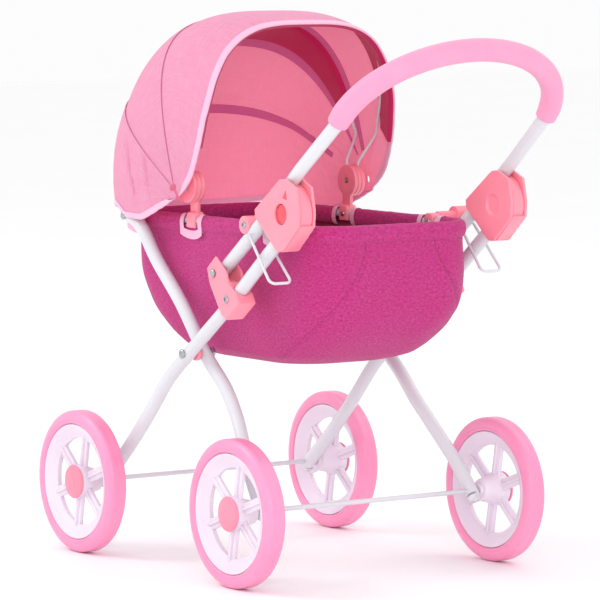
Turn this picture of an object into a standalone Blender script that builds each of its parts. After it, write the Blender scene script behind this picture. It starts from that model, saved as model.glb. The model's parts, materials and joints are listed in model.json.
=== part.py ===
"""A doll pram: crossed folding legs, a cloth basket on a ring, a folding hood and an adjustable handle.

Drawing measures are in millimetres. x runs from the front axle towards the handle, z is the height above
the floor, and y is the distance from the mid-plane. The person who pushes has the left side at -y.
"""
import math

import bmesh
import bpy
from mathutils import Matrix, Vector

MM = 0.001
GAP = 0.3
SIDES = {"left": -1, "right": 1}

# wheels
WHEEL_RADIUS = 75.0
WHEEL_FACETS = 20
WHEEL_BASE = 295.0
TRACK_HALF = 161.0
TYRE_HALF_WIDTH = 11.5
TREAD_HALF_WIDTH = 6.0
RIM_RADIUS = 60.7
WINDOW_INNER = 24.0
WINDOW_OUTER = 46.0
SPOKES = 6
SPOKE_HALF_WIDTH = 4.5
HUB_RADIUS = 17.5
CAP_RADIUS = 17.7
AXLE_RADIUS = 2.5
AXLE_BORE = 2.95
AXLE_OVERHANG = 8.0
BEAD_CHAMFER = 2.0
SIDEWALL_RISE = 5.0
SHOULDER_DROP = 4.0
HUB_INNER_END = 20.0
HUB_WAIST = 9.0
HUB_OUTER_END = 8.5
WEB_HALF = 2.5
DRUM_HALF_WIDTH = 9.6
DRUM_LIP = 1.8
CAP_BASE = 8.8
CAP_TOP = 13.0
FIRST_WINDOW_ANGLE = 20.0

# frame tubes and their planes
TUBE_RADIUS = 7.0
LEG_PLANE = 130.5
CROSS_PLANE = 111.0
CROSS_FOOT_PLANE = 131.0
MAIN_LEG = [(-4, 71), (0, 75), (44, 113), (84, 152), (122, 192), (160, 221), (194, 246), (238, 278),
            (262, 297), (312, 337), (334, 354)]
CROSS_LEG = [(10.5, 357.5, CROSS_PLANE), (16, 355, CROSS_PLANE), (40, 344, CROSS_PLANE),
             (69, 312, CROSS_PLANE), (116, 270, CROSS_PLANE), (160, 222, CROSS_PLANE),
             (198, 190, CROSS_PLANE), (221, 165, 113), (240, 143, 118), (270, 106, 127),
             (295, 75, CROSS_FOOT_PLANE), (299, 70, CROSS_FOOT_PLANE)]
CROSSING = (160, 222)
BASKET_PIVOT = (16, 355)
LINK_PIVOT = (223, 309)
LINK_END = (299, 366)
LINK_TAIL = 8.0
LINK_BOSS = (274, 361)
BOSS_RADIUS = 9.0
BOSS_INNER = 8.5
BOSS_OUTER = 7.5
STUB_RADIUS = 4.5
CUT_REACH = 10.0
BRACKET_SEAT = (248, 286)
BOLT_RADIUS = 2.5
BOLT_BORE = 2.9
BUSHING_RADIUS = 8.0
NUT_HEIGHT = 3.5
# radius and height of each kind of bolt head
CROSSING_HEAD = (5.0, 2.5)
BRACKET_HEAD = (4.2, 1.8)
BASKET_HEAD = (4.5, 2.0)
HUB_HEAD = (4.5, 1.6)

# bracket that joins the link tube to the main leg
BRACKET_OUTLINE = [(226, 327), (210, 314), (215, 298), (236, 268), (246, 263), (270, 281), (264, 291),
                   (250, 300), (246, 312)]
BRACKET_WALL = 3.6
BRACKET_POCKET = 13.0
POCKET_REACH = 60.0

# wire clip
CLIP_PIN = (285, 352.5)
CLIP_BAR = (329, 306)
CLIP_RADIUS = 1.5
CLIP_HALF_WIDTH = 8.9
CLIP_BAR_HALF_WIDTH = 12.5
CLIP_CORNER = 6.0

# handle and its hinge
HINGE = (343, 375.5)
HINGE_OUTLINE = [(298, 370), (297, 378), (341, 410), (352, 411), (370, 403), (375, 380), (374, 364),
                 (346, 339), (336, 338)]
HINGE_WALL = 3.2
RECESS_RADIUS = 10.5
BUTTON_RADIUS = 10.0
BUTTON_TRAVEL = 3.0
BUTTON_HEIGHT = 2.0
BUTTON_SINK = 0.8
RECESS_FLOOR = 2.0
WELL_FLOOR = 1.2
TONGUE_RADIUS = 20.0
ARM_ANGLE = math.radians(39.4)
ARM_OFFSET = 21.4
ARM_START = 15.0
ARM_STRAIGHT = 30.0
SOCKET_HALF = 7.0
GRIP_START = (422, 468)
GRIP_MIDDLE = (481, 538)
HANDLE_HALF_WIDTH = 127.0
GRIP_RADIUS = 11.5

# basket
RING_RADIUS = 4.5
RING_HEIGHT = 355.0
RING_HALF_WIDTH = 96.0
RING_ENDS = (-8.0, 348.0)
RING_CORNER = 40.0
BASKET_TOP = 349.8
BASKET_BOTTOM = 213.0
CLOTH_WALL = 3.0
END_BULGE = 8.0
SIDE_BULGE = 1.5
FRONT_RISE = 70.0
REAR_RISE = 74.0
SIDE_RISE = 20.0
CORNER_GROWTH = 14.0
BASKET_DEPTHS = (0, 0.25, 0.5, 0.7, 0.87, 0.97, 1.0)
FLOOR_START = 0.7
FLOOR_SHRINK = 0.1
BOARD_ENDS = (84, 258)
BOARD_HALF_WIDTH = 60.0
BOARD_CORNER = 30.0
BOARD_LIFT = 0.5
BOARD_THICKNESS = 3.0

# hood: three panels that slide into each other about one hub axis
HUB = (121, 390)
HUB_DISC_RADIUS = 16.5
HUB_LAYER = 4.4
HUB_INNER_PLANE = 94.0
ARCH_HALF_WIDTH = 125.0
ARCH_HEIGHT = 183.0
ARCH_POWER = 3.4
ARCH_FOOT = 15.0
PANEL_WALL = 1.2
PANEL_STEP = 2.1
FRONT_EDGE_ANGLE = 69.2
BACK_EDGE_ANGLE = 190.5
PANEL_ANGLE = (BACK_EDGE_ANGLE - FRONT_EDGE_ANGLE) / 3
PANEL_LAP = 1.5
RIB_RADIUS = 1.5
RIB_INSET = 8.5
RIB_BEND = 6.0
RIB_ARCH_FOOT = 50.0
STEM_HALF_WIDTH = 6.5

CENTRE_X = (GRIP_MIDDLE[0] + GRIP_RADIUS - WHEEL_RADIUS) / 2

FINISHES = {
    "tyre": ((0.95, 0.39, 0.60), 0.45, 0.0),
    "rim": ((0.84, 0.78, 0.84), 0.35, 0.0),
    "cap": ((0.96, 0.36, 0.48), 0.3, 0.0),
    "plastic": ((1.0, 0.35, 0.43), 0.35, 0.0),
    "button": ((0.92, 0.1, 0.15), 0.35, 0.0),
    "foam": ((0.97, 0.37, 0.63), 0.8, 0.0),
    "tube": ((0.79, 0.8, 0.82), 0.3, 0.0),
    "steel": ((0.55, 0.55, 0.56), 0.3, 1.0),
    "basket": ((0.68, 0.04, 0.27), 0.9, 0.0),
    "board": ((0.5, 0.02, 0.1), 0.8, 0.0),
    "hood": ((0.9, 0.39, 0.6), 0.9, 0.0),
}


def place(x, y, z):
    """A drawing point as a world point."""
    return Vector(((x - CENTRE_X) * MM, y * MM, z * MM))


def clear_scene():
    for item in list(bpy.data.objects):
        bpy.data.objects.remove(item, do_unlink=True)


def make_material(name, finish):
    colour, roughness, metallic = FINISHES[finish]
    material = bpy.data.materials.new(name)
    material.use_nodes = True
    shader = material.node_tree.nodes["Principled BSDF"]
    shader.inputs["Base Color"].default_value = (*colour, 1.0)
    shader.inputs["Roughness"].default_value = roughness
    shader.inputs["Metallic"].default_value = metallic
    return material


def add_part(name, mesh, finish, pivot):
    """Put a mesh made in world space into its own object, with the object's origin at the pivot."""
    mesh.transform(Matrix.Translation(-pivot))
    mesh.materials.clear()
    mesh.materials.append(make_material(name, finish))
    mesh.shade_smooth()
    mesh.set_sharp_from_angle(angle=math.radians(35))
    part = bpy.data.objects.new(name, mesh)
    part.location = pivot
    bpy.context.scene.collection.objects.link(part)
    return part


def add_tool(name, mesh):
    """A hidden body that cuts or joins another one."""
    tool = bpy.data.objects.new(name, mesh)
    tool.hide_render = True
    tool.display_type = "WIRE"
    bpy.context.scene.collection.objects.link(tool)
    return tool


def combine(part, mesh, operation):
    """Cut a mesh from a part, or join it on."""
    tool = add_tool(part.name + "_tool", mesh)
    modifier = part.modifiers.new("combine", "BOOLEAN")
    modifier.operation = operation
    modifier.object = tool
    modifier.solver = "EXACT"


def mesh_from(bm, name):
    bmesh.ops.remove_doubles(bm, verts=bm.verts, dist=1e-7)
    bmesh.ops.recalc_face_normals(bm, faces=bm.faces)
    mesh = bpy.data.meshes.new(name)
    bm.to_mesh(mesh)
    bm.free()
    return mesh


def smooth_path(points, per_span):
    """Points on a smooth curve through the given ones."""
    ends = [points[0] * 2 - points[1]] + list(points) + [points[-1] * 2 - points[-2]]
    path = []
    for i in range(1, len(ends) - 2):
        before, start, end, after = ends[i - 1:i + 3]
        for k in range(per_span):
            t = k / per_span
            path.append(0.5 * (2 * start + (end - before) * t
                               + (2 * before - 5 * start + 4 * end - after) * t * t
                               + (3 * start - before - 3 * end + after) * t * t * t))
    path.append(points[-1])
    return path


def tube_mesh(name, path, radius, resolution=4, closed=False):
    """A round bar along a path."""
    curve = bpy.data.curves.new(name, "CURVE")
    curve.dimensions = "3D"
    curve.bevel_depth = radius * MM
    curve.bevel_resolution = resolution
    curve.use_fill_caps = not closed
    spline = curve.splines.new("POLY")
    spline.points.add(len(path) - 1)
    for point, where in zip(spline.points, path):
        point.co = (*where, 1.0)
    spline.use_cyclic_u = closed
    guide = bpy.data.objects.new(name, curve)
    mesh = bpy.data.meshes.new_from_object(guide)
    bpy.data.objects.remove(guide)
    bpy.data.curves.remove(curve)
    return mesh


def bar_mesh(name, start, end, radius, resolution=4):
    return tube_mesh(name, [place(*start), place(*end)], radius, resolution)


def turned_mesh(name, profile, centre, side, facets=WHEEL_FACETS):
    """Turn a closed profile of (radius, distance along y) about an axis parallel to y."""
    bm = bmesh.new()
    half_step = math.pi / facets
    verts = []
    for radius, along in profile:
        x = centre[0] + radius * math.sin(half_step)
        z = centre[2] - radius * math.cos(half_step)
        verts.append(bm.verts.new(place(x, centre[1] + side * along, z)))
    edges = [bm.edges.new((a, b)) for a, b in zip(verts, verts[1:] + verts[:1])]
    bmesh.ops.spin(bm, geom=verts + edges, cent=place(*centre), axis=(0, 1, 0), angle=2 * math.pi,
                   steps=facets, use_merge=True)
    return mesh_from(bm, name)


def prism_mesh(name, outline, low, high):
    """An outline in the x-z plane, extruded from y = low to y = high."""
    bm = bmesh.new()
    face = bm.faces.new([bm.verts.new(place(x, low, z)) for x, z in outline])
    made = bmesh.ops.extrude_face_region(bm, geom=[face])
    moved = [v for v in made["geom"] if isinstance(v, bmesh.types.BMVert)]
    bmesh.ops.translate(bm, verts=moved, vec=Vector((0, (high - low) * MM, 0)))
    return mesh_from(bm, name)


def circle_outline(centre, radius, count=20, start=0.0, sweep=360.0):
    """Points on a circle, or on an arc when the sweep is less than a full turn."""
    steps = count if sweep >= 360.0 else count - 1
    angles = [math.radians(start + sweep * i / steps) for i in range(count)]
    return [(centre[0] + radius * math.cos(a), centre[1] + radius * math.sin(a)) for a in angles]


def side_prism(name, outline, side, near, far):
    """A prism between two distances from the mid-plane, on one side."""
    low, high = sorted((side * near, side * far))
    return prism_mesh(name, outline, low, high)


def side_bar(name, centre, side, near, far, radius, resolution=4):
    """A round bar parallel to y, between two distances from the mid-plane."""
    return bar_mesh(name, (centre[0], side * near, centre[1]), (centre[0], side * far, centre[1]),
                    radius, resolution)


def along_arm(distance, offset):
    """A point beside the hinge: distance along the handle arm's direction, and offset square to it."""
    return (HINGE[0] + distance * math.cos(ARM_ANGLE) - offset * math.sin(ARM_ANGLE),
            HINGE[1] + distance * math.sin(ARM_ANGLE) + offset * math.cos(ARM_ANGLE))


# ---- wheels and axles

def tyre_profile():
    half = TYRE_HALF_WIDTH
    outer = WHEEL_RADIUS / math.cos(math.pi / WHEEL_FACETS)
    inner = (RIM_RADIUS + GAP) / math.cos(math.pi / WHEEL_FACETS)
    wall = [(inner, half - BEAD_CHAMFER), (inner + SIDEWALL_RISE, half), (outer - SHOULDER_DROP, half - 0.5),
            (outer, TREAD_HALF_WIDTH)]
    return [(radius, -along) for radius, along in wall] + wall[::-1]


def rim_profile():
    """Hub barrel, web and the sloped drum, whose groove opens under the tyre."""
    drum = [(WINDOW_OUTER + 1, WEB_HALF), (RIM_RADIUS, DRUM_HALF_WIDTH),
            (RIM_RADIUS, DRUM_HALF_WIDTH - DRUM_LIP), (WINDOW_OUTER + 4, 1)]
    hub = [(AXLE_BORE, -HUB_INNER_END), (HUB_RADIUS - 5, -HUB_INNER_END), (HUB_RADIUS - 3, -HUB_WAIST),
           (HUB_RADIUS, -WEB_HALF)]
    cap_seat = [(HUB_RADIUS, WEB_HALF), (HUB_RADIUS, HUB_OUTER_END), (AXLE_BORE, HUB_OUTER_END)]
    return hub + [(radius, -along) for radius, along in drum] + drum[::-1] + cap_seat


def window_outline(centre, index):
    """One opening between two spokes."""
    middle = 360.0 / SPOKES * (index + 0.5) + FIRST_WINDOW_ANGLE
    outline = []
    for radius, turn in ((WINDOW_INNER, 1), (WINDOW_OUTER, -1)):
        half = 180.0 / SPOKES - math.degrees(math.asin(SPOKE_HALF_WIDTH / radius))
        outline += circle_outline(centre, radius, 3, middle - turn * half, turn * 2 * half)
    return outline


def add_wheel(end, x, side_name):
    side = SIDES[side_name]
    name = end + "_" + side_name
    centre = (x, side * TRACK_HALF, WHEEL_RADIUS)
    pivot = place(*centre)
    add_part("tyre_" + name, turned_mesh("tyre", tyre_profile(), centre, side), "tyre", pivot)
    rim = add_part("rim_" + name, turned_mesh("rim", rim_profile(), centre, side), "rim", pivot)
    for index in range(SPOKES):
        window = window_outline((x, WHEEL_RADIUS), index)
        cutter = side_prism("window", window, side, TRACK_HALF - 2 * WEB_HALF, TRACK_HALF + 2 * WEB_HALF)
        combine(rim, cutter, "DIFFERENCE")
    cap = [(0, CAP_BASE), (CAP_RADIUS, CAP_BASE), (CAP_RADIUS, CAP_TOP - 2.6),
           (CAP_RADIUS * 0.8, CAP_TOP - 0.8), (0, CAP_TOP)]
    add_part("hub_cap_" + name, turned_mesh("cap", cap, centre, side, 16), "cap", pivot)


def add_axle(name, x):
    reach = TRACK_HALF + AXLE_OVERHANG
    axle = bar_mesh(name, (x, -reach, WHEEL_RADIUS), (x, reach, WHEEL_RADIUS), AXLE_RADIUS, 3)
    add_part(name, axle, "tube", place(x, 0, WHEEL_RADIUS))


# ---- legs, brackets and links

def add_main_leg(side_name):
    side = SIDES[side_name]
    path = smooth_path([place(x, side * LEG_PLANE, z) for x, z in MAIN_LEG], 2)
    leg = add_part("main_leg_" + side_name, tube_mesh("leg", path, TUBE_RADIUS), "tube",
                   place(CROSSING[0], side * LEG_PLANE, CROSSING[1]))
    near, far = LEG_PLANE - CUT_REACH, LEG_PLANE + CUT_REACH
    for hole in (CROSSING, (0, WHEEL_RADIUS)):
        combine(leg, side_bar("hole", hole, side, near, far, BOLT_BORE, 3), "DIFFERENCE")


def add_cross_leg(side_name):
    side = SIDES[side_name]
    path = smooth_path([place(x, side * y, z) for x, z, y in CROSS_LEG], 2)
    leg = add_part("cross_leg_" + side_name, tube_mesh("leg", path, TUBE_RADIUS), "tube",
                   place(CROSSING[0], side * CROSS_PLANE, CROSSING[1]))
    for hole, plane in ((CROSSING, CROSS_PLANE), (BASKET_PIVOT, CROSS_PLANE),
                        ((WHEEL_BASE, WHEEL_RADIUS), CROSS_FOOT_PLANE)):
        hole = side_bar("hole", hole, side, plane - CUT_REACH, plane + CUT_REACH, BOLT_BORE, 3)
        combine(leg, hole, "DIFFERENCE")


def headed_bolt(name, centre, side, inner, outer, head, nut=0.0):
    """A bolt whose head stands on the outer side; with a nut's thickness it ends in a nut."""
    head_radius, head_height = head
    profile = [(0, outer + head_height), (head_radius * 0.7, outer + head_height),
               (head_radius, outer + head_height * 0.5), (head_radius, outer), (BOLT_RADIUS, outer),
               (BOLT_RADIUS, inner)]
    if nut:
        profile += [(head_radius, inner), (head_radius, inner - nut)]
    profile += [(0, profile[-1][1])]
    return turned_mesh(name, profile, (centre[0], 0, centre[1]), side, 10)


def add_crossing(side_name):
    side = SIDES[side_name]
    pivot = place(CROSSING[0], side * LEG_PLANE, CROSSING[1])
    inner = CROSS_PLANE + TUBE_RADIUS + GAP
    outer = LEG_PLANE - TUBE_RADIUS - GAP
    ring = [(BOLT_BORE, inner), (BUSHING_RADIUS, inner), (BUSHING_RADIUS, outer), (BOLT_BORE, outer)]
    centre = (CROSSING[0], 0, CROSSING[1])
    bushing = turned_mesh("bushing", ring, centre, side, 16)
    add_part("crossing_bushing_" + side_name, bushing, "plastic", pivot)
    bolt = headed_bolt("bolt", CROSSING, side, CROSS_PLANE - TUBE_RADIUS - GAP,
                       LEG_PLANE + TUBE_RADIUS + GAP, CROSSING_HEAD, NUT_HEIGHT)
    add_part("crossing_bolt_" + side_name, bolt, "steel", pivot)


def link_direction():
    return Vector((LINK_END[0] - LINK_PIVOT[0], LINK_END[1] - LINK_PIVOT[1])).normalized()


def add_link(side_name):
    side = SIDES[side_name]
    pivot = place(LINK_PIVOT[0], side * LEG_PLANE, LINK_PIVOT[1])
    tail = Vector(LINK_PIVOT) - link_direction() * LINK_TAIL
    ends = (tail[0], side * LEG_PLANE, tail[1]), (LINK_END[0], side * LEG_PLANE, LINK_END[1])
    link = add_part("link_tube_" + side_name, bar_mesh("link", *ends, TUBE_RADIUS), "tube", pivot)
    near, far = LEG_PLANE - CUT_REACH, LEG_PLANE + CUT_REACH
    combine(link, side_bar("hole", LINK_PIVOT, side, near, far, BOLT_BORE, 3), "DIFFERENCE")
    outline = circle_outline(LINK_BOSS, BOSS_RADIUS, 16)
    body = side_prism("boss", outline, side, LEG_PLANE - BOSS_INNER, LEG_PLANE + BOSS_OUTER)
    boss = add_part("link_boss_" + side_name, body, "plastic", pivot)
    combine(boss, bar_mesh("bore", *ends, TUBE_RADIUS + GAP), "DIFFERENCE")
    stub = side_bar("stub", LINK_BOSS, side, RING_HALF_WIDTH + RING_RADIUS + 0.5, LEG_PLANE - TUBE_RADIUS,
                    STUB_RADIUS, 3)
    combine(boss, stub, "UNION")


def add_bracket(side_name):
    """A moulding bored for the main leg, with a pocket in which the link tube's end turns."""
    side = SIDES[side_name]
    half = TUBE_RADIUS + GAP + BRACKET_WALL
    body = side_prism("bracket", BRACKET_OUTLINE, side, LEG_PLANE - half, LEG_PLANE + half)
    bracket = add_part("twin_bracket_" + side_name, body, "plastic",
                       place(BRACKET_SEAT[0], side * LEG_PLANE, BRACKET_SEAT[1]))
    path = smooth_path([place(x, side * LEG_PLANE, z) for x, z in MAIN_LEG[6:10]], 2)
    combine(bracket, tube_mesh("bore", path, TUBE_RADIUS + GAP), "DIFFERENCE")
    along = Vector((MAIN_LEG[9][0] - MAIN_LEG[6][0], MAIN_LEG[9][1] - MAIN_LEG[6][1])).normalized()
    square = Vector((-along[1], along[0]))
    base = Vector(BRACKET_SEAT) + square * BRACKET_POCKET
    reach = along * POCKET_REACH
    depth = square * POCKET_REACH
    corners = [base - reach, base + reach, base + reach + depth, base - reach + depth]
    pocket = side_prism("pocket", corners, side, LEG_PLANE - TUBE_RADIUS - GAP,
                        LEG_PLANE + TUBE_RADIUS + GAP)
    combine(bracket, pocket, "DIFFERENCE")
    near, far = LEG_PLANE - 2 * CUT_REACH, LEG_PLANE + 2 * CUT_REACH
    bore = side_bar("hole", LINK_PIVOT, side, near, far, BOLT_BORE, 3)
    combine(bracket, bore, "DIFFERENCE")
    screw = headed_bolt("screw", LINK_PIVOT, side, LEG_PLANE - half - 1, LEG_PLANE + half + GAP,
                        BRACKET_HEAD)
    add_part("bracket_screw_" + side_name, screw, "steel",
             place(LINK_PIVOT[0], side * LEG_PLANE, LINK_PIVOT[1]))


def add_clip(side_name):
    """A bent wire whose two arms lie beside the link tube and the main leg, and spread towards its bar."""
    side = SIDES[side_name]
    arm = Vector((CLIP_BAR[0] - CLIP_PIN[0], CLIP_BAR[1] - CLIP_PIN[1])).normalized()
    path = []
    for turn in (-1, 1):
        wide = LEG_PLANE + turn * CLIP_BAR_HALF_WIDTH
        bend = []
        for k in range(4):
            angle = math.radians(30 * k)
            back = CLIP_CORNER * (1 - math.sin(angle))
            shift = CLIP_CORNER * (1 - math.cos(angle))
            where = Vector(CLIP_BAR) - arm * back
            bend.append(place(where[0], side * (wide - turn * shift), where[1]))
        run = [place(CLIP_PIN[0], side * (LEG_PLANE + turn * CLIP_HALF_WIDTH), CLIP_PIN[1])] + bend
        path += run if turn < 0 else run[::-1]
    add_part("wire_clip_" + side_name, tube_mesh("clip", path, CLIP_RADIUS, 2), "tube",
             place(CLIP_PIN[0], side * LEG_PLANE, CLIP_PIN[1]))


def add_basket_bolt(side_name):
    side = SIDES[side_name]
    inner = RING_HALF_WIDTH + RING_RADIUS + GAP
    bolt = headed_bolt("bolt", BASKET_PIVOT, side, inner, CROSS_PLANE + TUBE_RADIUS + GAP, BASKET_HEAD)
    pivot = place(BASKET_PIVOT[0], side * CROSS_PLANE, BASKET_PIVOT[1])
    add_part("basket_bolt_" + side_name, bolt, "steel", pivot)


# ---- handle and hinges

def add_hinge(side_name):
    side = SIDES[side_name]
    pivot = place(HINGE[0], side * LEG_PLANE, HINGE[1])
    slot = TUBE_RADIUS + GAP
    for kind, turn in (("outer", 1), ("inner", -1)):
        near = LEG_PLANE + turn * slot
        far = LEG_PLANE + turn * (slot + HINGE_WALL)
        plate = add_part("hinge_" + kind + "_" + side_name,
                         side_prism("plate", HINGE_OUTLINE, side, near, far), "plastic", pivot)
        if turn > 0:
            floor = near - RECESS_FLOOR
        else:
            floor = far + RECESS_FLOOR
        recess = side_bar("recess", HINGE, side, floor, far + turn * RECESS_FLOOR, RECESS_RADIUS, 8)
        combine(plate, recess, "DIFFERENCE")
    base = LEG_PLANE + slot - BUTTON_SINK
    button = side_bar("button", HINGE, side, base, base + BUTTON_HEIGHT, BUTTON_RADIUS, 8)
    add_part("hinge_button_" + side_name, button, "button", pivot)
    add_tongue(side_name, pivot)


def add_tongue(side_name, pivot):
    """The disc that turns between the hinge plates, with the socket that holds the handle tube."""
    side = SIDES[side_name]
    half = TUBE_RADIUS - 0.1
    disc = side_prism("tongue", circle_outline(HINGE, TONGUE_RADIUS, 28), side, LEG_PLANE - half,
                      LEG_PLANE + half)
    tongue = add_part("hinge_tongue_" + side_name, disc, "plastic", pivot)
    face = ARM_START - GAP
    top = ARM_OFFSET + SOCKET_HALF
    block = [along_arm(-6, 8), along_arm(face, 8), along_arm(face, top), along_arm(-1, top),
             along_arm(-6, top - 5)]
    combine(tongue, side_prism("block", block, side, LEG_PLANE - half, LEG_PLANE + half), "UNION")
    floor = LEG_PLANE + half - BUTTON_TRAVEL - WELL_FLOOR
    well = side_bar("well", HINGE, side, floor, LEG_PLANE + half + RECESS_FLOOR, RECESS_RADIUS + GAP, 8)
    combine(tongue, well, "DIFFERENCE")


def grip_path(count):
    """The bow of the handle, from the left arm to the right one."""
    points = []
    for i in range(count + 1):
        angle = math.pi * i / count
        points.append(place(GRIP_START[0] + (GRIP_MIDDLE[0] - GRIP_START[0]) * math.sin(angle),
                            -HANDLE_HALF_WIDTH * math.cos(angle),
                            GRIP_START[1] + (GRIP_MIDDLE[1] - GRIP_START[1]) * math.sin(angle)))
    return points


def add_handle():
    pivot = place(HINGE[0], 0, HINGE[1])
    bow = grip_path(18)
    arms = []
    for side in SIDES.values():
        for distance in (ARM_START, ARM_START + ARM_STRAIGHT):
            x, z = along_arm(distance, ARM_OFFSET)
            arms.append(place(x, side * LEG_PLANE, z))
    tube = tube_mesh("handle", arms[:2] + bow + arms[:1:-1], TUBE_RADIUS, 2)
    add_part("handle_tube", tube, "tube", pivot)
    grip = add_part("handle_grip", tube_mesh("grip", bow, GRIP_RADIUS, 3), "foam", pivot)
    longer = [bow[0] * 2 - bow[1]] + bow + [bow[-1] * 2 - bow[-2]]
    combine(grip, tube_mesh("bore", longer, TUBE_RADIUS + 0.6, 2), "DIFFERENCE")


# ---- basket

def rounded_outline(low, high, half_width, corner, arc_points=6, side_points=3):
    """A rectangle with round corners, as (x, y) points."""
    outline = []
    centres = [(high - corner, half_width - corner), (low + corner, half_width - corner),
               (low + corner, corner - half_width), (high - corner, corner - half_width)]
    for quarter, centre in enumerate(centres):
        outline += circle_outline(centre, corner, arc_points, 90.0 * quarter, 90.0)
        if quarter % 2 == 0:
            first = outline[-1]
            last = (first[0] + (low - high + 2 * corner) * (1 if quarter == 0 else -1), first[1])
            outline += [(first[0] + (last[0] - first[0]) * k / (side_points + 1), first[1])
                        for k in range(1, side_points + 1)]
    return outline


def basket_level(depth):
    """The basket's outline at a depth from 0, the ring, to 1, the floor."""
    belly = math.sin(math.pi * depth)
    low = RING_ENDS[0] - END_BULGE * belly + FRONT_RISE * depth ** 3
    high = RING_ENDS[1] + END_BULGE * belly - REAR_RISE * depth ** 4
    half_width = RING_HALF_WIDTH + CLOTH_WALL / 2 + SIDE_BULGE * belly - SIDE_RISE * depth ** 3.5
    return rounded_outline(low, high, half_width, RING_CORNER + CORNER_GROWTH * depth)


def add_ring(pivot):
    outline = rounded_outline(*RING_ENDS, RING_HALF_WIDTH, RING_CORNER)
    path = [place(x, y, RING_HEIGHT) for x, y in outline]
    add_part("basket_ring", tube_mesh("ring", path, RING_RADIUS, 2, closed=True), "tube", pivot)


def basket_loop(bm, depth):
    """One level of the cloth, drawn in towards the middle where the side turns into the floor."""
    level = basket_level(depth)
    shrink = 1 - FLOOR_SHRINK * max(0.0, depth - FLOOR_START) / (1 - FLOOR_START)
    middle = sum(x for x, y in level) / len(level)
    height = BASKET_TOP - (BASKET_TOP - BASKET_BOTTOM) * depth
    return [bm.verts.new(place(middle + (x - middle) * shrink, y * shrink, height)) for x, y in level]


def add_cloth(pivot):
    """The basket as an open shell, with its wall inwards from the outer surface."""
    bm = bmesh.new()
    loops = [basket_loop(bm, depth) for depth in BASKET_DEPTHS]
    for upper, lower in zip(loops, loops[1:]):
        for i in range(len(upper)):
            bm.faces.new((upper[i], upper[i - 1], lower[i - 1], lower[i]))
    bm.faces.new(loops[-1])
    basket = add_part("basket_cloth", mesh_from(bm, "basket"), "basket", pivot)
    wall = basket.modifiers.new("wall", "SOLIDIFY")
    wall.thickness = CLOTH_WALL * MM
    wall.offset = -1.0


def add_board(pivot):
    """The flat board that stiffens the basket's floor."""
    bm = bmesh.new()
    height = BASKET_BOTTOM + CLOTH_WALL + BOARD_LIFT
    outline = rounded_outline(*BOARD_ENDS, BOARD_HALF_WIDTH, BOARD_CORNER, 4, 1)
    face = bm.faces.new([bm.verts.new(place(x, y, height)) for x, y in outline])
    made = bmesh.ops.extrude_face_region(bm, geom=[face])
    moved = [v for v in made["geom"] if isinstance(v, bmesh.types.BMVert)]
    bmesh.ops.translate(bm, verts=moved, vec=Vector((0, 0, BOARD_THICKNESS * MM)))
    add_part("floor_board", mesh_from(bm, "board"), "board", pivot)


def add_basket():
    pivot = place(BASKET_PIVOT[0], 0, BASKET_PIVOT[1])
    add_ring(pivot)
    add_cloth(pivot)
    add_board(pivot)


# ---- hood

def arch_points(inset, count, foot=ARCH_FOOT):
    """The hood's arch as (distance from the mid-plane, distance from the hub axis), left to right."""
    half_width = ARCH_HALF_WIDTH - inset
    height = ARCH_HEIGHT - inset
    first = math.asin((foot / height) ** (ARCH_POWER / 2))
    points = []
    for i in range(count + 1):
        angle = first + (math.pi - 2 * first) * i / count
        across = math.copysign(abs(math.cos(angle)) ** (2 / ARCH_POWER), math.cos(angle))
        points.append((-half_width * across, height * math.sin(angle) ** (2 / ARCH_POWER)))
    return points


def hood_point(across, reach, angle):
    """A point at a distance from the hub axis, in the plane that stands at an angle to the x axis."""
    turn = math.radians(angle)
    return place(HUB[0] + reach * math.cos(turn), across, HUB[1] + reach * math.sin(turn))


def add_panel(name, inset, first, last):
    bm = bmesh.new()
    steps = 4
    arch = arch_points(inset, 16)
    rows = []
    for k in range(steps + 1):
        angle = first + (last - first) * k / steps
        rows.append([bm.verts.new(hood_point(across, reach, angle)) for across, reach in arch])
    for upper, lower in zip(rows, rows[1:]):
        for i in range(len(arch) - 1):
            bm.faces.new((upper[i], upper[i + 1], lower[i + 1], lower[i]))
    mesh = mesh_from(bm, name)
    panel = add_part(name, mesh, "hood", place(HUB[0], 0, HUB[1]))
    wall = panel.modifiers.new("wall", "SOLIDIFY")
    wall.thickness = PANEL_WALL * MM
    wall.offset = -1.0


def add_rib(name, angle, plane):
    """A wire bow whose feet start at the rims of its two knuckles."""
    arch = arch_points(RIB_INSET, 14, RIB_ARCH_FOOT)
    foot = HUB_DISC_RADIUS + GAP
    full = [(-plane, foot), (-plane, foot + RIB_BEND)] + arch + [(plane, foot + RIB_BEND), (plane, foot)]
    path = [hood_point(across, reach, angle) for across, reach in full]
    add_part(name, tube_mesh("rib", path, RIB_RADIUS, 1), "tube", place(HUB[0], 0, HUB[1]))


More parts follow.
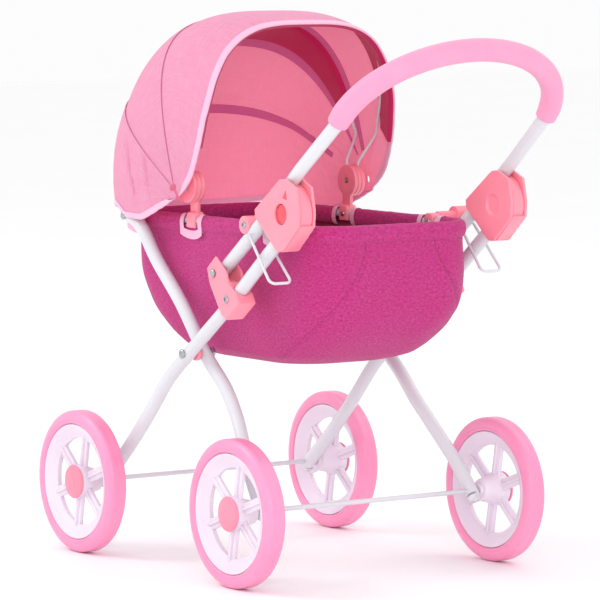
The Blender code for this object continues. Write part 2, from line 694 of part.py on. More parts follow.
def add_hub(side_name):
    side = SIDES[side_name]
    pivot = place(HUB[0], side * HUB_INNER_PLANE, HUB[1])
    stem_foot = RING_HEIGHT + RING_RADIUS + GAP
    stem = [(HUB[0] - STEM_HALF_WIDTH, stem_foot), (HUB[0] + STEM_HALF_WIDTH, stem_foot)]
    keyhole = stem + circle_outline(HUB, HUB_DISC_RADIUS, 20, -66.0, 312.0)
    for index, kind in enumerate(("hub_clamp", "middle_knuckle", "front_knuckle")):
        inner = HUB_INNER_PLANE + index * (HUB_LAYER + GAP)
        outline = keyhole if index == 0 else circle_outline(HUB, HUB_DISC_RADIUS, 20)
        disc = add_part(kind + "_" + side_name, side_prism("disc", outline, side, inner, inner + HUB_LAYER),
                        "plastic", pivot)
        combine(disc, side_bar("hole", HUB, side, inner - 2, inner + HUB_LAYER + 2, BOLT_BORE, 3),
                "DIFFERENCE")
    outer = HUB_INNER_PLANE + 3 * (HUB_LAYER + GAP)
    screw = headed_bolt("screw", HUB, side, HUB_INNER_PLANE - 1, outer, HUB_HEAD)
    add_part("hub_screw_" + side_name, screw, "steel", pivot)


def add_hood():
    middle_edge = FRONT_EDGE_ANGLE + PANEL_ANGLE
    back_edge = FRONT_EDGE_ANGLE + 2 * PANEL_ANGLE
    add_panel("hood_panel_back", 0, back_edge - PANEL_LAP, BACK_EDGE_ANGLE)
    add_panel("hood_panel_middle", PANEL_STEP, middle_edge - PANEL_LAP, back_edge + PANEL_LAP)
    add_panel("hood_panel_front", 2 * PANEL_STEP, FRONT_EDGE_ANGLE, middle_edge + PANEL_LAP)
    front_plane = HUB_INNER_PLANE + 2 * (HUB_LAYER + GAP) + HUB_LAYER / 2
    middle_plane = HUB_INNER_PLANE + (HUB_LAYER + GAP) + HUB_LAYER / 2
    add_rib("hood_rib_front", FRONT_EDGE_ANGLE + 1, front_plane)
    add_rib("hood_rib_middle", middle_edge + 2, middle_plane)


def main():
    clear_scene()
    add_axle("front_axle", 0)
    add_axle("rear_axle", WHEEL_BASE)
    for side_name in SIDES:
        add_wheel("front", 0, side_name)
        add_wheel("rear", WHEEL_BASE, side_name)
        add_main_leg(side_name)
        add_cross_leg(side_name)
        add_crossing(side_name)
        add_link(side_name)
        add_bracket(side_name)
        add_clip(side_name)
        add_basket_bolt(side_name)
        add_hinge(side_name)
        add_hub(side_name)
    add_handle()
    add_basket()
    add_hood()


main()
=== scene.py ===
import json
import math

import bpy
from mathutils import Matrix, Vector, noise


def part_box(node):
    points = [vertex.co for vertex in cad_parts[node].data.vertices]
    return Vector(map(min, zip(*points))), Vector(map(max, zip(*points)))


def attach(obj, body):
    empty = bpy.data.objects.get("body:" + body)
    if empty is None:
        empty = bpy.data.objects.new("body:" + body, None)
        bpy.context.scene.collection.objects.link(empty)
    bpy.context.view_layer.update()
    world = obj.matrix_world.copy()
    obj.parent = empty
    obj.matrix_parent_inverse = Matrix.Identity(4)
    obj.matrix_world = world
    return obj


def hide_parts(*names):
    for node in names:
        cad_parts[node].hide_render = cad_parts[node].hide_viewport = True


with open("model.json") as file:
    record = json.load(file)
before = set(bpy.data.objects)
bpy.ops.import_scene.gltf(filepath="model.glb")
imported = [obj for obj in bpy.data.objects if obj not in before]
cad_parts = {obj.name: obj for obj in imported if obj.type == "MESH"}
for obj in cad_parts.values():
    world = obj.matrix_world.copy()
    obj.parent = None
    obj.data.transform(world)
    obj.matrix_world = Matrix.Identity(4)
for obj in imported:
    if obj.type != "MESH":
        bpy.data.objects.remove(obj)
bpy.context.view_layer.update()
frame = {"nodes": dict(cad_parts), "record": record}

sides = {"left": -1, "right": 1}
frontAxleX = sum(corner[0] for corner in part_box("front_axle")) / 2


def at(x, y, z):
    # millimetres from the front axle, the mid-plane and the floor
    return Vector((frontAxleX + x * 0.001, y * 0.001, z * 0.001))


class Sock:
    # a node's output that can be used in sums
    def __init__(self, tree, socket):
        self.tree = tree
        self.socket = socket

    def math(self, operation, other=None, flip=False):
        node = self.tree.nodes.new("ShaderNodeMath")
        node.operation = operation
        values = [other, self] if flip else [self, other]
        for place, value in enumerate(values):
            if isinstance(value, Sock):
                self.tree.links.new(value.socket, node.inputs[place])
            elif value is not None:
                node.inputs[place].default_value = value
        return Sock(self.tree, node.outputs[0])

    def __add__(self, other):
        return self.math("ADD", other)

    def __radd__(self, other):
        return self.math("ADD", other)

    def __sub__(self, other):
        return self.math("SUBTRACT", other)

    def __rsub__(self, other):
        return self.math("SUBTRACT", other, flip=True)

    def __mul__(self, other):
        return self.math("MULTIPLY", other)

    def __rmul__(self, other):
        return self.math("MULTIPLY", other)


def pigment(code):
    # a colour code as linear values
    parts = [int(code[k:k + 2], 16) / 255 for k in (0, 2, 4)]
    return tuple(p / 12.92 if p <= 0.04045 else ((p + 0.055) / 1.055) ** 2.4 for p in parts) + (1.0,)


class Finish:
    def __init__(self, name, **fixed):
        self.material = bpy.data.materials.new(name)
        self.material.use_nodes = True
        self.tree = self.material.node_tree
        self.shader = self.tree.nodes["Principled BSDF"]
        for socketName, value in fixed.items():
            self.shader.inputs[socketName.replace("_", " ")].default_value = value

    def node(self, kind, settings=None, inputs=None, output=0):
        made = self.tree.nodes.new("ShaderNode" + kind)
        for key, value in (settings or {}).items():
            if key == "stops":
                for place, (where, colour) in enumerate(value):
                    if place > 1:
                        made.color_ramp.elements.new(where)
                    made.color_ramp.elements[place].position = where
                    made.color_ramp.elements[place].color = colour
            else:
                setattr(made, key, value)
        for key, value in (inputs or {}).items():
            if isinstance(value, Sock):
                self.tree.links.new(value.socket, made.inputs[key])
            else:
                made.inputs[key].default_value = value
        return Sock(self.tree, made.outputs[output])

    def feed(self, socketName, value):
        self.tree.links.new(value.socket, self.shader.inputs[socketName])

    def objectPlace(self, scale=(1, 1, 1)):
        where = self.node("TexCoord", output=3)
        return self.node("Mapping", inputs={"Vector": where, "Scale": scale})

    def clothPlace(self, scale=(1, 1, 1)):
        where = self.node("UVMap", {"uv_map": "cloth"})
        return self.node("Mapping", inputs={"Vector": where, "Scale": scale})

    def grain(self, where, scale, detail=3.0, roughness=0.5):
        return self.node("TexNoise", inputs={"Vector": where, "Scale": scale, "Detail": detail,
                                             "Roughness": roughness})

    def blendColours(self, mask, low, high):
        return self.node("Mix", {"data_type": "RGBA"}, {"Factor": mask, 6: low, 7: high}, output=2)

    def bump(self, height, distance, strength=1.0):
        return self.node("Bump", inputs={"Height": height, "Distance": distance, "Strength": strength})


def sharpen(mask, low, high):
    # spreads the part of a mask between two values over 0 to 1
    spread = (mask - low) * (1 / (high - low))
    return spread.math("MAXIMUM", 0.0).math("MINIMUM", 1.0)


def wovenCloth(name, dark, plain, light, pitch, fleck, slub, sheen):
    # threads both ways, each with its own shade, and flecks of a lighter and a darker yarn
    cloth = Finish(name, Roughness=0.85, Sheen_Weight=sheen, Sheen_Roughness=0.5)
    turns = 2 * math.pi / pitch
    where = cloth.clothPlace()
    across = cloth.node("SeparateXYZ", inputs={"Vector": where}, output=0)
    along = cloth.node("SeparateXYZ", inputs={"Vector": where}, output=1)
    warp = (across * turns).math("SINE")
    weft = (along * turns).math("SINE")
    weave = (warp * weft) * 0.5 + 0.5
    warpYarn = cloth.grain(cloth.clothPlace((1 / pitch * 0.5, slub, 1)), 1.0, 2.0)
    weftYarn = cloth.grain(cloth.clothPlace((slub, 1 / pitch * 0.5, 1)), 1.0, 2.0)
    patches = cloth.grain(cloth.clothPlace(), 22.0, 3.0)
    yarn = sharpen(warpYarn * 0.5 + weftYarn * 0.5, 0.5 - fleck, 0.5 + fleck)
    base = cloth.blendColours(yarn, dark, light)
    base = cloth.blendColours(sharpen(patches, 0.3, 0.7) * 0.2 + 0.35, base, plain)
    base = cloth.blendColours(weave * 0.22, base, dark)
    cloth.feed("Base Color", base)
    cloth.feed("Roughness", yarn * 0.12 + 0.78)
    folds = cloth.grain(cloth.clothPlace((1, 0.45, 1)), 26.0, 4.0)
    height = weave * 0.35 + yarn * 0.35 + folds * 3.0
    cloth.feed("Normal", cloth.bump(height, 0.0006, 0.55))
    return cloth.material


def satinTape(name, plain, dark, pitch):
    tape = Finish(name, Roughness=0.6, Sheen_Weight=0.25)
    along = tape.node("SeparateXYZ", inputs={"Vector": tape.clothPlace()})
    rows = (along * (2 * math.pi / pitch)).math("SINE")
    patches = tape.grain(tape.objectPlace(), 60.0)
    tape.feed("Base Color", tape.blendColours(rows * 0.12 + patches * 0.35, plain, dark))
    tape.feed("Roughness", patches * 0.2 + 0.5)
    tape.feed("Normal", tape.bump(rows * 0.3 + patches, 0.0005, 0.4))
    return tape.material


def mouldedPlastic(name, plain, dark, roughness, grainSize, depth, coat):
    # a moulding: cloudy colour, a fine skin texture and slightly duller high spots
    plastic = Finish(name, Coat_Roughness=0.2, Subsurface_Weight=0.08, Subsurface_Scale=0.004)
    plastic.shader.inputs["Coat Weight"].default_value = coat
    clouds = plastic.grain(plastic.objectPlace(), 14.0, 2.0)
    skin = plastic.grain(plastic.objectPlace(), grainSize, 4.0)
    plastic.feed("Base Color", plastic.blendColours(sharpen(clouds, 0.3, 0.75) * 0.6, plain, dark))
    plastic.feed("Roughness", skin * 0.18 + (roughness - 0.09))
    plastic.feed("Normal", plastic.bump(skin, depth, 0.5))
    return plastic.material


def powderCoat(name):
    # paint over tube: orange peel, and a few thin, duller scuffs
    coat = Finish(name, Coat_Weight=0.35, Coat_Roughness=0.12)
    peel = coat.grain(coat.objectPlace(), 900.0, 2.0)
    clouds = coat.grain(coat.objectPlace(), 9.0)
    scuffs = sharpen(coat.grain(coat.objectPlace((1, 1, 4)), 160.0, 5.0, 0.7), 0.66, 0.72)
    marks = clouds * 0.3 + scuffs * 0.25
    coat.feed("Base Color", coat.blendColours(marks, pigment("DCDCE2"), pigment("C2C3CB")))
    coat.feed("Roughness", 0.24 + peel * 0.1 + scuffs * 0.2)
    coat.feed("Normal", coat.bump(peel, 0.00008, 0.5))
    return coat.material


def zincSteel(name):
    steel = Finish(name, Metallic=1.0)
    brushed = steel.grain(steel.objectPlace((1, 30, 1)), 260.0, 3.0)
    steel.feed("Base Color", steel.blendColours(brushed, pigment("8C8D92"), pigment("D0D1D6")))
    steel.feed("Roughness", brushed * 0.25 + 0.22)
    steel.feed("Normal", steel.bump(brushed, 0.00005, 0.4))
    return steel.material


def closedFoam(name):
    foam = Finish(name, Roughness=0.62, Sheen_Weight=0.2)
    cells = foam.node("TexVoronoi", {"feature": "F1"}, {"Vector": foam.objectPlace(), "Scale": 900.0})
    clouds = foam.grain(foam.objectPlace(), 30.0, 4.0)
    tone = clouds * 0.6 + cells * 0.25
    foam.feed("Base Color", foam.blendColours(tone, pigment("F3A4C6"), pigment("EA8EB6")))
    foam.feed("Roughness", 0.52 + cells * 0.2)
    foam.feed("Normal", foam.bump(cells + clouds * 0.6, 0.0002, 0.45))
    return foam.material


finishes = {
    "hoodLinen": wovenCloth("hoodLinen", pigment("D57CA0"), pigment("E291B0"), pigment("ECA6C0"),
                            0.0011, 0.2, 40, 0.1),
    "hoodLining": wovenCloth("hoodLining", pigment("F08EAC"), pigment("F8A4BE"), pigment("FFB8CC"),
                             0.0011, 0.2, 60, 0.1),
    "heather": wovenCloth("heather", pigment("900C58"), pigment("C21476"), pigment("DC4E9E"),
                          0.0011, 0.15, 240, 0.1),
    "basketLining": wovenCloth("basketLining", pigment("7A0038"), pigment("A00050"), pigment("B4186A"),
                               0.0008, 0.25, 20, 0.2),
    "pocket": wovenCloth("pocket", pigment("98003C"), pigment("B00048"), pigment("C21260"),
                         0.0008, 0.25, 20, 0.2),
    "seamThread": satinTape("seamThread", pigment("8A0E58"), pigment("6A0844"), 0.0008),
    "binding": satinTape("binding", pigment("F4BAD6"), pigment("E89CC2"), 0.0014),
    "seamTape": satinTape("seamTape", pigment("E070AA"), pigment("C85090"), 0.0012),
    "coral": mouldedPlastic("coral", pigment("FF96A8"), pigment("FA7F94"), 0.36, 500.0, 0.0001, 0.2),
    "buttonRed": mouldedPlastic("buttonRed", pigment("F2505E"), pigment("E03A50"),
                                0.35, 500.0, 0.0001, 0.2),
    "capPink": mouldedPlastic("capPink", pigment("FB8FA8"), pigment("F57C96"), 0.4, 420.0, 0.0001, 0.1),
    "tyrePink": mouldedPlastic("tyrePink", pigment("F99AC2"), pigment("F284B0"),
                               0.42, 260.0, 0.00015, 0.25),
    "rimWhite": mouldedPlastic("rimWhite", pigment("EADFEB"), pigment("DCC9DB"), 0.34, 360.0, 0.0001, 0.25),
    "paint": powderCoat("paint"),
    "steel": zincSteel("steel"),
    "foam": closedFoam("foam"),
}
# painted glow: the hood lining gives off pink light of its own, standing in for light that thin cloth would
# let through from outside
liningGlowShader = finishes["hoodLining"].node_tree.nodes["Principled BSDF"]
liningGlowShader.inputs["Emission Color"].default_value = pigment("F080A0")
liningGlowShader.inputs["Emission Strength"].default_value = 0.22
# painted glow: the pocket gives off deep crimson light of its own, so that it does not go dark in shade
inside = finishes["pocket"].node_tree.nodes["Principled BSDF"]
inside.inputs["Emission Color"].default_value = pigment("B80048")
inside.inputs["Emission Strength"].default_value = 0.2
print("materials made:", len(finishes))


def selectOnly(piece):
    bpy.ops.object.select_all(action="DESELECT")
    piece.select_set(True)
    bpy.context.view_layer.objects.active = piece


def finishPiece(piece, name, body, finish, nodes=(), smoothAngle=40):
    piece.name = name
    piece.data.name = name
    selectOnly(piece)
    bpy.ops.object.transform_apply(location=True, rotation=True, scale=True)
    bpy.ops.object.shade_smooth_by_angle(angle=math.radians(smoothAngle))
    if not piece.data.materials:
        piece.data.materials.append(finishes[finish])
    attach(piece, body)
    if nodes:
        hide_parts(*nodes)
    return piece


def applyModifier(piece, kind, **settings):
    selectOnly(piece)
    modifier = piece.modifiers.new(kind.lower(), kind)
    for key, value in settings.items():
        setattr(modifier, key, value)
    bpy.ops.object.modifier_apply(modifier=modifier.name)


def meshOperator(piece, operator, **settings):
    # runs one edit-mode operator on the whole mesh
    selectOnly(piece)
    bpy.ops.object.mode_set(mode="EDIT")
    bpy.ops.mesh.select_all(action="SELECT")
    operator(**settings)
    bpy.ops.object.mode_set(mode="OBJECT")


def shapedGrid(columns, rows, pointAt, lengths=(1.0, 1.0), closed=False):
    # a grid whose points are set on a surface; its map is in metres along the cloth
    bpy.ops.object.select_all(action="DESELECT")
    bpy.ops.mesh.primitive_grid_add(x_subdivisions=columns, y_subdivisions=rows, size=1.0)
    piece = bpy.context.object
    for vertex in piece.data.vertices:
        vertex.co = pointAt(vertex.co.x + 0.5, vertex.co.y + 0.5)
    layer = piece.data.uv_layers.active
    layer.name = "cloth"
    for corner in layer.data:
        corner.uv = (corner.uv.x * lengths[0], corner.uv.y * lengths[1])
    if closed:
        meshOperator(piece, bpy.ops.mesh.remove_doubles, threshold=0.00001)
        meshOperator(piece, bpy.ops.mesh.normals_make_consistent, inside=False)
    return piece


def faceAwayFrom(piece, centre):
    # turns an open sheet so that its faces look away from a point
    agree = sum(p.normal.dot(p.center - centre) * p.area for p in piece.data.polygons)
    if agree < 0:
        meshOperator(piece, bpy.ops.mesh.flip_normals)


def turned(profile, centre, side, steps=64):
    # a closed profile of (radius, distance outward) turned about an axis parallel to y
    count = len(profile)

    def pointAt(u, v):
        radius, outward = profile[round(v * count) % count]
        angle = 2 * math.pi * u
        return centre + Vector((radius * math.cos(angle), side * outward, radius * math.sin(angle))) * 0.001
    return shapedGrid(steps, count, pointAt, (0.4, 0.1), closed=True)


def softProfile(corners, cut=0.7):
    # cuts each corner of a closed profile back twice, so that the turned edge is rounded
    out = []
    for k, corner in enumerate(corners):
        before, after = corners[k - 1], corners[(k + 1) % len(corners)]
        for other in (before, after):
            length = math.dist(corner, other)
            share = min(cut / length, 0.3)
            out.append((corner[0] + (other[0] - corner[0]) * share,
                        corner[1] + (other[1] - corner[1]) * share))
    return out


def smoothPath(points, perSpan):
    ends = [points[0] * 2 - points[1]] + list(points) + [points[-1] * 2 - points[-2]]
    path = []
    for i in range(1, len(ends) - 2):
        before, start, end, after = ends[i - 1:i + 3]
        for k in range(perSpan):
            t = k / perSpan
            path.append(0.5 * (2 * start + (end - before) * t
                               + (2 * before - 5 * start + 4 * end - after) * t * t
                               + (3 * start - before - 3 * end + after) * t ** 3))
    path.append(points[-1])
    return path


def barAlong(path, radius, resolution=8, widths=None, closed=False):
    # a round bar along a path, from a curve with a bevel
    bpy.ops.object.select_all(action="DESELECT")
    bpy.ops.curve.primitive_bezier_curve_add()
    guide = bpy.context.object
    curve = guide.data
    curve.splines.clear()
    spline = curve.splines.new("POLY")
    spline.points.add(len(path) - 1)
    for k, where in enumerate(path):
        spline.points[k].co = (*where, 1.0)
        spline.points[k].radius = widths[k] if widths else 1.0
    spline.use_cyclic_u = closed
    curve.dimensions = "3D"
    curve.bevel_depth = radius * 0.001
    curve.bevel_resolution = resolution
    curve.use_fill_caps = True
    selectOnly(guide)
    bpy.ops.object.convert(target="MESH")
    return bpy.context.object


def softenedNode(node, width=0.6, segments=3):
    # a copy of a CAD node, merged and given rounded edges
    original = frame["nodes"][node]
    selectOnly(original)
    bpy.ops.object.duplicate()
    piece = bpy.context.object
    for key in list(piece.keys()):
        del piece[key]
    piece.parent = None
    piece.data.materials.clear()
    meshOperator(piece, bpy.ops.mesh.remove_doubles, threshold=0.00002)
    meshOperator(piece, bpy.ops.mesh.dissolve_limited, angle_limit=math.radians(2))
    if width:
        applyModifier(piece, "BEVEL", width=width * 0.001, segments=segments, limit_method="ANGLE",
                      angle_limit=math.radians(35))
    return piece


studio = {
    "azimuth": 55.57,
    "elevation": 5.13,
    "distance": 4.227,
    "lens": 245.9,
    "target": (-0.0112, -0.0177, 0.274),
    "sky": (1.0, 1.0, 1.0, 1.0),
    "skyStrength": 0.98,
    "lights": [((-1.6, -2.2, 2.6), 1.4, 30.0), ((2.6, -1.6, 0.9), 1.2, 20.0), ((0.4, 2.2, 2.4), 1.6, 8.0)],
}


def buildStudio():
    azimuth = math.radians(studio["azimuth"])
    elevation = math.radians(studio["elevation"])
    back = Vector((math.sin(azimuth) * math.cos(elevation), -math.cos(azimuth) * math.cos(elevation),
                   math.sin(elevation)))
    bpy.ops.object.camera_add(location=Vector(studio["target"]) + back * studio["distance"])
    camera = bpy.context.object
    camera.rotation_euler = back.to_track_quat("Z", "Y").to_euler()
    camera.data.lens = studio["lens"]
    camera.data.sensor_width = 36.0
    camera.data.clip_end = 60.0
    bpy.context.scene.camera = camera
    for place, size, power in studio["lights"]:
        bpy.ops.object.light_add(type="AREA", location=place)
        light = bpy.context.object
        light.rotation_euler = (Vector(place) - Vector((0, 0, 0.25))).to_track_quat("Z", "Y").to_euler()
        light.data.size = size
        light.data.energy = power
    world = bpy.data.worlds.new("studio")
    bpy.context.scene.world = world
    world.use_nodes = True
    world.node_tree.nodes["Background"].inputs["Color"].default_value = studio["sky"]
    world.node_tree.nodes["Background"].inputs["Strength"].default_value = studio["skyStrength"]
    bpy.context.scene.view_settings.view_transform = "Standard"
    bpy.ops.mesh.primitive_plane_add(size=24.0, location=(0, 0, -0.0005))
    floor = bpy.context.object
    floor.name = "studioFloor"
    pale = Finish("paleFloor", Roughness=0.7)
    clouds = pale.grain(pale.objectPlace(), 3.0)
    pale.feed("Base Color", pale.blendColours(clouds, pigment("FCFCFD"), pigment("FFFFFF")))
    floor.data.materials.append(pale.material)


buildStudio()
print("studio ready")


wheel = {
    "radius": 75.0,
    "track": 161.0,
    "base": 295.0,
    "spokes": 6,
    "spokeWidth": 12.0,
    "spokeRib": 3.0,
    "firstSpoke": 20.0,
    "ends": {"front": 0.0, "rear": 295.0},
}


def buildTyre(centre, side):
    # a flat tread with a shallow middle groove, square shoulders, and a fine line round each wall
    half = [(61.0, 0), (61.0, 8.6), (61.5, 10.2), (62.6, 11.2), (64.2, 11.5), (64.8, 11.1), (65.4, 11.5),
            (67.4, 11.4), (69.6, 10.9), (71.6, 10.0), (73.3, 8.8), (74.2, 7.8), (74.8, 6.4), (75.0, 5.6),
            (75.0, 3.0), (74.7, 1.0), (74.7, 0)]
    profile = half + [(r, -y) for r, y in half[-2:0:-1]]
    return turned(profile, centre, side, 96)


def buildRim(centre, side):
    drum = softProfile([(46.0, -2.6), (48.5, -3.0), (59.0, -9.9), (60.7, -9.9), (60.7, -7.0), (52.0, 0),
                        (60.7, 7.0), (60.7, 9.9), (59.0, 9.9), (48.5, 3.0), (46.0, 2.6)], 0.5)
    hub = softProfile([(2.7, -20.0), (9.0, -20.0), (11.5, -18.8), (14.0, -9.0), (17.0, -3.4), (17.6, 3.4),
                       (17.2, 8.4), (15.5, 8.6), (2.7, 8.6)], 0.6)
    collar = softProfile([(2.7, -22.2), (6.0, -22.2), (7.2, -20.4), (7.2, -19.8), (2.7, -19.8)], 0.3)
    parts = [turned(drum, centre, side, 96), turned(hub, centre, side, 48), turned(collar, centre, side, 24)]
    for k in range(wheel["spokes"]):
        angle = math.radians(wheel["firstSpoke"] + 360.0 / wheel["spokes"] * k)
        middle = centre + Vector((math.cos(angle), 0, math.sin(angle))) * 0.032
        for thickness, width in ((4.4, wheel["spokeWidth"]), (9.0, wheel["spokeRib"])):
            bpy.ops.object.select_all(action="DESELECT")
            bpy.ops.mesh.primitive_cube_add(size=1.0, location=middle, rotation=(0, -angle, 0),
                                            scale=(0.036, thickness * 0.001, width * 0.001))
            spoke = bpy.context.object
            selectOnly(spoke)
            bpy.ops.object.transform_apply(location=True, rotation=True, scale=True)
            applyModifier(spoke, "BEVEL", width=0.001, segments=3)
            parts.append(spoke)
    selectOnly(parts[0])
    for part in parts[1:]:
        part.select_set(True)
    bpy.ops.object.join()
    return bpy.context.object


def buildWheels():
    for sideName, side in sides.items():
        for end, x in wheel["ends"].items():
            name = end + "_" + sideName
            body = "wheel_" + name
            centre = at(x, side * wheel["track"], wheel["radius"])
            finishPiece(buildTyre(centre, side), "tyreSoft_" + name, body, "tyrePink",
                        ["tyre_" + name], 60)
            finishPiece(buildRim(centre, side), "rimSpoked_" + name, body, "rimWhite",
                        ["rim_" + name], 35)
            dome = [(0.02, 9.0), (17.4, 9.0), (17.7, 9.4), (17.7, 10.4), (17.2, 11.1), (15.9, 11.7),
                    (12.0, 12.4), (7.0, 12.8), (0.02, 13.0)]
            finishPiece(turned(dome, centre, side, 48), "capDome_" + name, body, "capPink",
                        ["hub_cap_" + name], 50)


buildWheels()
print("wheels done")


tubes = {
    "radius": 7.0,
    "legPlane": 130.5,
    "mainLeg": [(-4, 71), (0, 75), (44, 113), (84, 152), (122, 192), (160, 221), (194, 246), (238, 278),
                (262, 297), (312, 337), (334, 354)],
    "crossLeg": [(10.5, 357.5, 111), (16, 355, 111), (40, 344, 111), (69, 312, 111), (116, 270, 111),
                 (160, 222, 111), (198, 190, 111), (221, 165, 113), (240, 143, 118), (270, 106, 127),
                 (295, 75, 131), (299, 70, 131)],
    "link": [(216.8, 304.4), (299, 366)],
}


def roundedEnds(path, radius):
    # repeats the ends a little inside, narrower, so that a bar's ends are rounded
    edge = radius * 0.15 * 0.001
    first = path[0] + (path[1] - path[0]).normalized() * edge
    last = path[-1] + (path[-2] - path[-1]).normalized() * edge
    return [path[0], first] + path[1:-1] + [last, path[-1]], [0.85] + [1.0] * len(path) + [0.85]


def tubePiece(name, path, radius, body, node, finish="paint"):
    path, widths = roundedEnds(path, radius)
    piece = barAlong(path, radius, 6, widths)
    return finishPiece(piece, name, body, finish, [node], 50)


def buildTubes():
    for sideName, side in sides.items():
        plane = side * tubes["legPlane"]
        leg = smoothPath([at(x, plane, z) for x, z in tubes["mainLeg"]], 6)
        tubePiece("legTube_" + sideName, leg, tubes["radius"], "root", "main_leg_" + sideName)
        cross = smoothPath([at(x, side * y, z) for x, z, y in tubes["crossLeg"]], 6)
        tubePiece("crossTube_" + sideName, cross, tubes["radius"], "rear_legs", "cross_leg_" + sideName)
        link = [at(x, plane, z) for x, z in tubes["link"]]
        tubePiece("linkBar_" + sideName, link, tubes["radius"], "links", "link_tube_" + sideName)
    reach = wheel["track"] + 8
    for name, x, body in (("front_axle", 0, "root"), ("rear_axle", wheel["base"], "rear_legs")):
        rod = [at(x, -reach, wheel["radius"]), at(x, reach, wheel["radius"])]
        tubePiece("rod_" + name, rod, 2.5, body, name)


clip = {
    "pin": (285, 352.5),
    "bar": (329, 306),
    "radius": 1.5,
    "halfWidth": 8.9,
    "barHalfWidth": 12.5,
    "corner": 6.0,
}


def buildClips():
    arm = Vector((clip["bar"][0] - clip["pin"][0], 0, clip["bar"][1] - clip["pin"][1])).normalized()
    for sideName, side in sides.items():
        path = []
        for turn in (-1, 1):
            wide = tubes["legPlane"] + turn * clip["barHalfWidth"]
            narrow = tubes["legPlane"] + turn * clip["halfWidth"]
            run = [at(clip["pin"][0], side * narrow, clip["pin"][1])]
            for k in range(9):
                angle = math.radians(90 * k / 8)
                back = clip["corner"] * (1 - math.sin(angle))
                shift = clip["corner"] * (1 - math.cos(angle))
                run.append(at(clip["bar"][0] - arm.x * back, side * (wide - turn * shift),
                              clip["bar"][1] - arm.z * back))
            path += run if turn < 0 else run[::-1]
        tubePiece("clipWire_" + sideName, path, clip["radius"], "clip_" + sideName, "wire_clip_" + sideName)


handle = {
    "hinge": (343, 375.5),
    "angle": 39.4,
    "offset": 21.4,
    "start": 15.0,
    "straight": 30.0,
    "gripStart": (422, 468),
    "gripMiddle": (481, 538),
    "halfWidth": 127.0,
    "gripRadius": 11.5,
}


def alongArm(distance):
    angle = math.radians(handle["angle"])
    return (handle["hinge"][0] + distance * math.cos(angle) - handle["offset"] * math.sin(angle),
            handle["hinge"][1] + distance * math.sin(angle) + handle["offset"] * math.cos(angle))


def buildHandle():
    bow = []
    startX, startZ = handle["gripStart"]
    middleX, middleZ = handle["gripMiddle"]
    for k in range(73):
        angle = math.pi * k / 72
        rise = math.sin(angle)
        bow.append(at(startX + (middleX - startX) * rise, -handle["halfWidth"] * math.cos(angle),
                      startZ + (middleZ - startZ) * rise))
    arms = []
    for side in (-1, 1):
        for distance in (handle["start"], handle["start"] + handle["straight"]):
            x, z = alongArm(distance)
            arms.append(at(x, side * tubes["legPlane"], z))
    path = [arms[0], arms[1]] + bow + [arms[3], arms[2]]
    tubePiece("pushTube", path, tubes["radius"], "handle", "handle_tube")
    # the sleeve is a little fuller in the middle and pinched where it ends
    widths = []
    for k in range(73):
        end = min(k, 72 - k) / 3
        lumps = noise.noise(bow[k] * 18) * 0.012
        widths.append((0.93 + 0.07 * min(1.0, end)) * (1 + lumps))
    grip = barAlong(bow, handle["gripRadius"], 12, widths)
    finishPiece(grip, "foamSleeve", "handle", "foam", ["handle_grip"], 60)


buildTubes()
buildClips()
buildHandle()
print("frame tubes done")


def bodyOf(node):
    return next(body for body, members in frame["record"]["behaviour"]["bodies"].items() if node in members)


mouldings = {
    "crossing_bushing": ("coral", "plastic", 0.8),
    "hinge_tongue": ("coral", "plastic", 1.0),
    "hinge_button": ("buttonRed", "button", 0.5),
    "link_boss": ("coral", "plastic", 1.0),
    "hub_clamp": ("coral", "plastic", 0.8),
    "middle_knuckle": ("coral", "plastic", 0.8),
    "front_knuckle": ("coral", "plastic", 0.8),
    "bracket_screw": ("steel", "steel", 0.3),
    "crossing_bolt": ("steel", "steel", 0.3),
    "basket_bolt": ("steel", "steel", 0.3),
    "hub_screw": ("steel", "steel", 0.3),
}


melted = [("twin_bracket_", "bracketMoulded_", 40), ("hinge_outer_", "hingeCheekOuter_", 9),
          ("hinge_inner_", "hingeCheekInner_", 9)]


def meltedNode(node, voxel, rounds):
    # a copy of a CAD node with all its edges run together, as on a thick moulding
    piece = softenedNode(node, 0)
    applyModifier(piece, "REMESH", mode="VOXEL", voxel_size=voxel * 0.001, adaptivity=0.0)
    applyModifier(piece, "SMOOTH", factor=0.5, iterations=rounds)
    return piece


def plate(outline, side, near, far, width):
    # an outline in the x-z plane, drawn out between two distances from the mid-plane, with soft edges
    bpy.ops.object.select_all(action="DESELECT")
    bpy.ops.mesh.primitive_circle_add(vertices=len(outline), radius=0.01, fill_type="NGON")
    piece = bpy.context.object
    for vertex, (x, z) in zip(piece.data.vertices, outline):
        vertex.co = at(x, side * near, z)
    selectOnly(piece)
    bpy.ops.object.mode_set(mode="EDIT")
    bpy.ops.mesh.select_all(action="SELECT")
    bpy.ops.mesh.extrude_region_move(TRANSFORM_OT_translate={"value": (0, side * (far - near) * 0.001, 0)})
    bpy.ops.mesh.select_all(action="SELECT")
    bpy.ops.mesh.normals_make_consistent(inside=False)
    bpy.ops.object.mode_set(mode="OBJECT")
    applyModifier(piece, "BEVEL", width=width * 0.001, segments=3, limit_method="ANGLE",
                  angle_limit=math.radians(40))
    return piece


def sector(centre, inner, outer, first, last, steps):
    turns = [math.radians(first + (last - first) * k / steps) for k in range(steps + 1)]
    far = [(centre[0] + outer * math.cos(t), centre[1] + outer * math.sin(t)) for t in turns]
    near = [(centre[0] + inner * math.cos(t), centre[1] + inner * math.sin(t)) for t in turns]
    return far + near[::-1]


def screwHead(centre, side, near, radius, height):
    # a domed head with a dished drive in its middle
    profile = [(0.02, near), (radius, near), (radius, near + height * 0.35),
               (radius * 0.85, near + height * 0.75), (radius * 0.45, near + height),
               (radius * 0.38, near + height * 0.45), (0.02, near + height * 0.35)]
    return turned(profile, at(centre[0], 0, centre[1]), side, 32)


